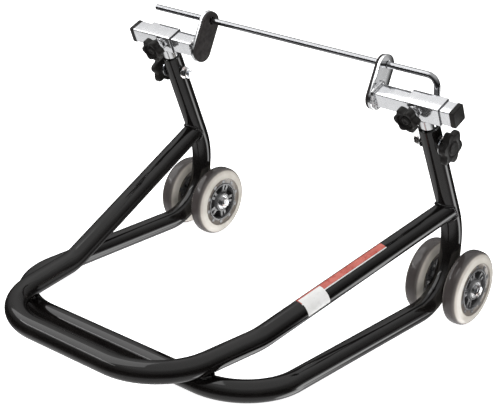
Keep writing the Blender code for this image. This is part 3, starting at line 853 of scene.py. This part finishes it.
def washer_bm(outer, inner, low, high, ease=0.35, segments=72):
    profile = rounded([(low, outer), (high, outer), (high, inner), (low, inner)], ease)
    return turned(profile, segments, closed=True)


def make_wheels():
    core = core_mesh()
    seat_offset = (WHEEL_WIDTH - BEARING_WIDTH) / 2
    sleeve_reach = seat_offset - BEARING_WIDTH / 2 - GAP
    bolt_reach = (WHEEL_SPACING + WHEEL_WIDTH) / 2 + GAP
    for name, side in SIDES:
        for where, offset in (("outer", WHEEL_SPACING / 2), ("inner", -WHEEL_SPACING / 2)):
            label = f"wheel_{name}_{where}"
            x = (AXLE_X + offset) * side
            matrix = along_x(x, AXLE_Y, AXLE_Z, side)
            piece(label + "_urethane", tyre_bm(), "urethane", label, matrix, [label + "_tyre"])
            finished(label + "_spoked_core", core.copy(), "core_plastic", label, matrix, [label + "_core"])
            for end, shift in (("a", seat_offset), ("b", -seat_offset)):
                seat = along_x(x + shift, AXLE_Y, AXLE_Z, side)
                piece(f"{label}_ball_bearing_{end}", bearing_bm(), "bearing_steel", label, seat,
                      [f"{label}_bearing_{end}"])
            sleeve = washer_bm(5.9, BEARING_BORE, -sleeve_reach, sleeve_reach)
            piece(label + "_spacer_tube", sleeve, "zinc", "frame", matrix, [label + "_hub_sleeve"])
            toward = side if where == "outer" else -side
            spacer = washer_bm(6.6, HOLE_R, TUBE_R + 0.9, (WHEEL_SPACING - WHEEL_WIDTH) / 2 - GAP)
            piece(f"axle_washer_{name}_{where}", spacer, "zinc", "frame",
                  along_x(AXLE_X * side, AXLE_Y, AXLE_Z, toward), [f"axle_spacer_{name}_{where}"])
        piece("axle_hex_bolt_" + name, hex_bolt_bm(bolt_reach, 5.3, -bolt_reach - 7.0), "zinc", "frame",
              along_x(AXLE_X * side, AXLE_Y, AXLE_Z, side), ["axle_bolt_" + name])
        piece("axle_lock_nut_" + name, hex_nut_bm(bolt_reach, 6.4, collar=1.6), "zinc", "frame",
              along_x(AXLE_X * side, AXLE_Y, AXLE_Z, -side), ["axle_nut_" + name])


# ---- knobs ---------------------------------------------------------------------------------------
def star_bm(levels, lobes=6, per_lobe=20, sharpness=0.55):
    """A lobed knob about local Z from (height, radius, lobe depth) levels; lobes are broad, valleys tight."""
    rings = []
    for height, radius, depth in levels:
        ring = []
        for i in range(lobes * per_lobe if radius else 1):
            turn = 2 * pi * i / (lobes * per_lobe)
            wave = cos(lobes * turn)
            shaped = wave * (1 - sharpness * 0.35) + 0.35 * sharpness * (1 - 2 * ((1 - wave) / 2) ** 2)
            reach = radius + depth * shaped
            ring.append(Vector((reach * cos(turn), reach * sin(turn), height)))
        rings.append(ring)
    return skin(rings)


def eased_levels(levels, size):
    """Levels with rounded corners, the lobe depth blended along."""
    result = [levels[0]]
    for before, level, after in zip(levels, levels[1:], levels[2:]):
        point = Vector(level)
        back = Vector(before) - point
        ahead = Vector(after) - point
        start = point + back * min(0.45, size / back.xy.length)
        end = point + ahead * min(0.45, size / ahead.xy.length)
        result += eased(start, point, end, 3)
    return [*result, levels[-1]]


def clamp_knob_bm():
    levels = [(9.0, 0, 0), (9.0, 4.1, 0), (0, 4.1, 0), (0, 10.0, 0), (3.4, 10.6, 0), (4.0, 17.6, 2.1),
              (5.4, 20.0, 2.65), (11.4, 20.0, 2.65), (13.4, 17.8, 2.0), (13.7, 12.2, 0.6), (13.2, 9.6, 0),
              (13.3, 8.9, 0), (14.6, 8.2, 0), (14.5, 0, 0)]
    return star_bm(eased_levels(levels, 0.8))


def sleeve_knob_bm():
    levels = [(8.0, 0, 0), (8.0, 4.1, 0), (0, 4.1, 0), (0, 7.4, 0), (1.6, 7.8, 0), (1.9, 14.2, 1.5), (2.9, 15.2, 2.0),
              (11.0, 15.2, 2.0), (13.2, 13.4, 1.4), (13.2, 11.2, 0), (9.0, 10.2, 0), (8.6, 6.6, 0), (10.6, 5.6, 0),
              (11.6, 4.4, 0), (11.8, 2.8, 0), (11.0, 2.0, 0), (11.0, 0, 0)]
    return star_bm(eased_levels(levels, 0.6))


# ---- masts ---------------------------------------------------------------------------------------
def mast_bm():
    """Chromed mast with its bolt slot through both walls."""
    body = washer_bm(MAST_R, MAST_R - MAST_WALL, MAST_BOTTOM, MAST_TOP, 0.4, 56)
    slot_top = CLAMP_H + MAST_DOWN
    slot_bottom = CLAMP_H - MAST_UP
    turns = [2 * pi * (i + 0.5) / 32 for i in range(32)]
    outline = [Vector((HOLE_R * cos(t), HOLE_R * sin(t) + (slot_top if sin(t) > 0 else slot_bottom))) for t in turns]
    to_mast = Matrix(((0, 0, 1, 0), (1, 0, 0, 0), (0, 1, 0, 0), (0, 0, 0, 1)))
    return boolean(body, moved(prism(outline, 20.0), to_mast))


def make_masts():
    length = SLEEVE_OUTER_X - SLEEVE_INNER_X
    for name, side in SIDES:
        carrier = "mast_carrier_" + name
        piece("mast_tube_" + name, mast_bm(), "chrome", carrier, mast_matrix(side), ["mast_" + name])
        point, front, crown = sleeve_frame(side)
        screw_place = basis(Vector((SLEEVE_KNOB_X[name] * side, point.y, point.z)), crown.cross(front), crown, front)
        sleeve_place = square_matrix(side, SLEEVE_INNER_X)
        hole = moved(turned([(6.0, HOLE_R), (20.0, HOLE_R)], 40), sleeve_place.inverted() @ screw_place)
        sleeve = boolean(square_tube(SLEEVE_HALF, 2.2, SLEEVE_BORE, 0.9, 0.0, length), hole)
        piece("sleeve_tube_" + name, sleeve, "brushed_chrome", carrier, sleeve_place, ["sleeve_" + name])
        # thin dark rings on both ends of the sleeve: painted shade for its end faces
        for end, at in (("outer", length - 0.05), ("inner", -0.1)):
            face = square_tube(SLEEVE_HALF - 0.4, 1.9, SLEEVE_BORE + 0.05, 0.95, at, at + 0.15, 0.04)
            piece("sleeve_end_shade_" + end + "_" + name, face, "sawn_steel", carrier, sleeve_place)
        low = SLEEVE_HALF + 0.1
        piece("sleeve_weld_nut_" + name, hex_nut_bm(low, 6.6), "chrome", carrier, screw_place, ["sleeve_nut_" + name])
        # the weld look's dark grey mottling is painted shade and dark reflection
        nut_bead = bead_mesh(resampled(circle_ring(7.3, low + 0.3, 48), 0.8), 1.2, 0.12, 31)
        piece("sleeve_nut_weld_" + name, nut_bead, "chrome_weld", carrier, screw_place)
        mast_bead = bead_mesh(resampled(circle_ring(MAST_R, MAST_TOP, 64), 0.8), 1.7, 0.12, 37)
        piece("mast_weld_" + name, mast_bead, "chrome_weld", carrier, mast_matrix(side))
        make_arm_screw(name, screw_place)
        make_clamp_screw(name, side)


def make_arm_screw(name, place):
    """The screw through the sleeve's nut and its small star knob."""
    body = "arm_screw_" + name
    tip = ARM_HALF + GAP
    knob_back = SLEEVE_HALF + 8.0
    head = knob_back + 7.6
    rings = [circle_ring(0.01, tip), circle_ring(2.6, tip), circle_ring(3.2, ARM_HALF + 0.9)]
    rings += thread_rings(BOLT_R, ARM_HALF + 1.2, knob_back)
    rings += [circle_ring(BOLT_R, knob_back), circle_ring(BOLT_R, head), circle_ring(0.01, head)]
    piece("arm_screw_thread_" + name, skin(rings), "zinc", body, place, ["sleeve_screw_" + name])
    knob_place = place @ Matrix.Translation((0, 0, knob_back))
    piece("arm_star_knob_" + name, sleeve_knob_bm(), "knob_plastic", body, knob_place, ["sleeve_knob_" + name], 45)


def make_clamp_screw(name, side):
    """The bolt through upright and mast, with its washer, large star knob and flange nut."""
    body = "clamp_screw_" + name
    across = along_x(*clamp_point(side), side)
    low = TUBE_R + 0.5
    knob_back = low + 2.3
    head = knob_back + 8.6
    end = -TUBE_R - 12.8
    piece("clamp_flat_washer_" + name, washer_bm(CLAMP_WASHER_R, HOLE_R, low, low + 2.0), "zinc", "frame", across,
          ["clamp_washer_" + name])
    knob_place = across @ Matrix.Translation((0, 0, knob_back))
    piece("clamp_star_knob_" + name, clamp_knob_bm(), "knob_plastic", body, knob_place, ["clamp_knob_" + name], 45)
    rings = [circle_ring(0.01, end), circle_ring(3.0, end)] + thread_rings(BOLT_R, end + 0.6, end + 13.0, depth=0.22)
    rings += [circle_ring(BOLT_R, end + 14.0), circle_ring(BOLT_R, head), circle_ring(0.01, head)]
    piece("clamp_bolt_shank_" + name, skin(rings), "zinc", body, across, ["clamp_bolt_" + name])
    nut = joined(washer_bm(CLAMP_FLANGE_R, 4.1, low, low + 1.6), hex_nut_bm(low + 1.5, CLAMP_HEX_HALF))
    piece("clamp_flange_nut_" + name, nut, "zinc", "frame", along_x(*clamp_point(side), -side), ["clamp_nut_" + name])


# ---- arms, plates and rod ------------------------------------------------------------------------
def make_arms():
    for name, side in SIDES:
        arm_body = "receiver_arm_" + name
        plate_x = PLATE_X[name]
        place = square_matrix(side, plate_x)
        length = ARM_LENGTH - ARM_CAP
        arm = square_tube(ARM_HALF, 1.8, ARM_HALF - ARM_WALL, 0.9, 0.1, length - 0.2)
        piece("arm_square_tube_" + name, arm, "brushed_chrome", arm_body, place, ["arm_" + name])
        plug = rounded_square(ARM_HALF - ARM_WALL - 0.2, 0.8)
        head = rounded_square(ARM_CAP_HALF, 1.8)
        levels = [(plug, length - 12.0, 0.4), (plug, length - 11.4), (plug, length), (head, length),
                  (head, ARM_LENGTH - 1.3), (head, ARM_LENGTH - 0.6, 0.3), (head, ARM_LENGTH - 0.15, 0.9),
                  (head, ARM_LENGTH, 1.9)]
        end_plug = skin([at_height(*level) for level in levels])
        piece("arm_end_plug_" + name, end_plug, "knob_plastic", arm_body, place, ["arm_cap_" + name])
        loop = [Vector((p.x, p.y, 1.5)) for p in rounded_square(ARM_HALF + 1.7, 3.5)]
        bead = bead_mesh(resampled(loop, 1.0), 2.3, 0.06, 50 + side)
        # the weld look's dark grey mottling is painted shade and dark reflection
        piece("plate_weld_" + name, bead, "chrome_weld", arm_body, place)
        plate = pierced_plate(PLATE_R, PLATE_SPAN, PLATE_T, 4.7)
        piece("receiver_steel_plate_" + name, plate, "chrome", arm_body, plate_matrix(side, plate_x - PLATE_T),
              ["receiver_plate_" + name])
        pad = pierced_plate(PLATE_R - 0.6, PLATE_SPAN, PAD_T, 5.2)
        piece("receiver_rubber_pad_" + name, pad, "pad_rubber", arm_body,
              plate_matrix(side, plate_x - PLATE_T - GAP - PAD_T), ["receiver_pad_" + name])


def make_rod():
    tip = mirrored((ROD_TIP_X, *ROD_YZ), 1)
    corner = mirrored((ROD_LEG_X, *ROD_YZ), 1)
    lean = radians(ROD_LEG_LEAN)
    foot = corner + Vector((0.0, sin(lean), -cos(lean))) * ROD_LEG
    points = filleted([tip, corner, foot], [ROD_BEND_R], step=5.0)
    piece("through_rod", pipe(points, ROD_R, 0, 40, 0.8), "rod_steel", "axle_rod", replaces=["axle_rod"])


# ---- stage ---------------------------------------------------------------------------------------
def soft_box(name, place, target, size, radiance, size_y=None, seen=True):
    """A soft box at a place in metres, aimed at a target; unseen ones light the scene but don't reflect."""
    light = bpy.data.lights.new(name, "AREA")
    light.shape = "RECTANGLE"
    light.size = size
    light.size_y = size_y or size
    light.energy = radiance * pi * light.size * light.size_y
    obj = linked(name, light)
    obj.location = place
    obj.rotation_euler = (Vector(target) - Vector(place)).to_track_quat("-Z", "Y").to_euler()
    obj.visible_glossy = seen


def make_world():
    """The studio as glossy surfaces see it: bright table straight below, dark horizon, grey room above."""
    world = bpy.data.worlds.new("studio")
    world.use_nodes = True
    bpy.context.scene.world = world
    tree = world.node_tree
    place = node(tree, "ShaderNodeTexCoord")
    split = node(tree, "ShaderNodeSeparateXYZ")
    height = node(tree, "ShaderNodeMapRange", [("From Min", -1.0)])
    link(tree, place.outputs["Generated"], split.inputs["Vector"])
    link(tree, split.outputs["Z"], height.inputs["Value"])
    colour = ramp_of(tree, height.outputs["Result"], [((level + 1) / 2, (grey,) * 3) for level, grey in WORLD_GREYS])
    for direction, edge, core, radiance in WORLD_GLOWS:
        aim = [(1, Vector(direction).normalized())]
        toward = node(tree, "ShaderNodeVectorMath", aim, operation="DOT_PRODUCT")
        levels = [("From Min", edge), ("From Max", core), ("To Max", radiance)]
        glow = node(tree, "ShaderNodeMapRange", levels, interpolation_type="SMOOTHSTEP")
        total = node(tree, "ShaderNodeMix", [("Factor", 1.0)], data_type="RGBA", blend_type="ADD")
        link(tree, place.outputs["Generated"], toward.inputs[0])
        link(tree, toward.outputs["Value"], glow.inputs["Value"])
        link(tree, colour, total.inputs["A"])
        link(tree, glow.outputs["Result"], total.inputs["B"])
        colour = total.outputs["Result"]
    link(tree, colour, tree.nodes["Background"].inputs["Color"])


def make_backdrop():
    """A white dome over the floor: it closes the horizon in low views, and lights and mirrors nothing."""
    bm = bmesh.new()
    bmesh.ops.create_uvsphere(bm, u_segments=48, v_segments=24, radius=DOME_RADIUS_M)
    mesh = mesh_of("studio_backdrop", bm)
    mesh.materials.append(principled("studio_backdrop", (0.0, 0.0, 0.0), 1.0, Specular_IOR_Level=0.0,
                                     Emission_Color=WHITE, Emission_Strength=1.0))
    dome = linked("studio_backdrop", mesh)
    dome.visible_glossy = dome.visible_diffuse = dome.visible_transmission = dome.visible_shadow = False


def make_floor():
    half = FLOOR_HALF_M
    mesh = bpy.data.meshes.new("studio_floor")
    mesh.from_pydata([(-half, -half, 0), (half, -half, 0), (half, half, 0), (-half, half, 0)], [], [(0, 1, 2, 3)])
    mesh.materials.append(principled("studio_floor", (0.9, 0.9, 0.9), 0.9, Emission_Color=WHITE, Emission_Strength=1.0))
    floor = linked("studio_floor", mesh)
    floor.location.z = -0.0005
    floor.visible_glossy = False


def make_stage():
    make_floor()
    make_backdrop()
    make_world()
    middle = (0.0, 0.0, 0.12)
    soft_box("key_box", (-1.35, -0.75, 1.95), middle, 2.5, 1.5)
    soft_box("key_strip", (-1.75, -2.05, 1.55), middle, 2.2, 7.0, 0.10)
    soft_box("fill", (0.6, 0.3, 3.0), middle, 3.0, 0.4, seen=False)


def make_camera():
    """Camera at its fitted place: azimuth from -Y towards +X, elevation above the horizon, then rolled."""
    azimuth, elevation, roll = (radians(v) for v in (CAMERA_AZIMUTH, CAMERA_ELEVATION, CAMERA_ROLL))
    back = Vector((sin(azimuth) * cos(elevation), -cos(azimuth) * cos(elevation), sin(elevation)))
    level_right = (-back).cross(Vector((0.0, 0.0, 1.0))).normalized()
    level_up = level_right.cross(-back)
    right = level_right * cos(roll) + level_up * sin(roll)
    up = level_up * cos(roll) - level_right * sin(roll)
    camera = bpy.data.cameras.new("camera")
    camera.lens = CAMERA_LENS
    camera.clip_end = 50.0
    obj = linked("camera", camera)
    obj.matrix_world = basis(mirrored(CAMERA_PLACE, 1) * MM, right, up, back)
    bpy.context.scene.camera = obj


make_camera()
make_stage()
make_frame()
make_stickers()
make_wheels()
make_masts()
make_arms()
make_rod()
bpy.context.scene.view_settings.view_transform = "Standard"
